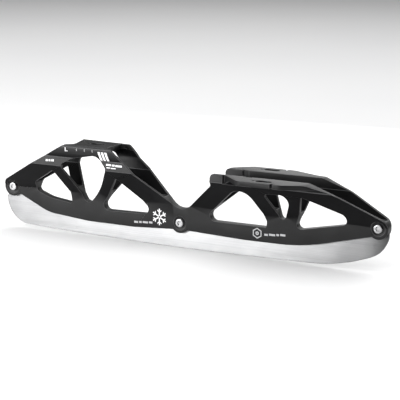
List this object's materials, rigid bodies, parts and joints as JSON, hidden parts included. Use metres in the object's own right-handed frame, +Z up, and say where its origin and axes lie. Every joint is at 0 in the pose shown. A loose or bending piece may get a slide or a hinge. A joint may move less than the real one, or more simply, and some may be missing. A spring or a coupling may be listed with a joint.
{
  "type": "speed skate blade unit",
  "caption": "Ice speed skate blade unit: a thin steel runner clamped in a windowed two-wall aluminium frame, with slotted heel and toe faces for a boot.",
  "frame": {"origin": "on the ice, under the middle of the blade, in the blade's centre plane", "axes": "+X from heel to toe, +Y toward the outer side of a left foot, +Z up from the ice"},
  "size_m": [0.3706, 0.064, 0.0825],
  "materials": {
    "frame_metal": "black anodised, machined after extrusion",
    "blade_steel": "ground along its length",
    "fastener_steel": "bright turned heads"
  },
  "bodies": {
    "root": {"frame": "frame_metal", "blade": "blade_steel", "rear_bolt": "fastener_steel", "middle_bolt": "fastener_steel", "front_bolt": "fastener_steel", "rear_sleeve_nut": "fastener_steel", "middle_sleeve_nut": "fastener_steel", "front_sleeve_nut": "fastener_steel"}
  },
  "joints": []
}
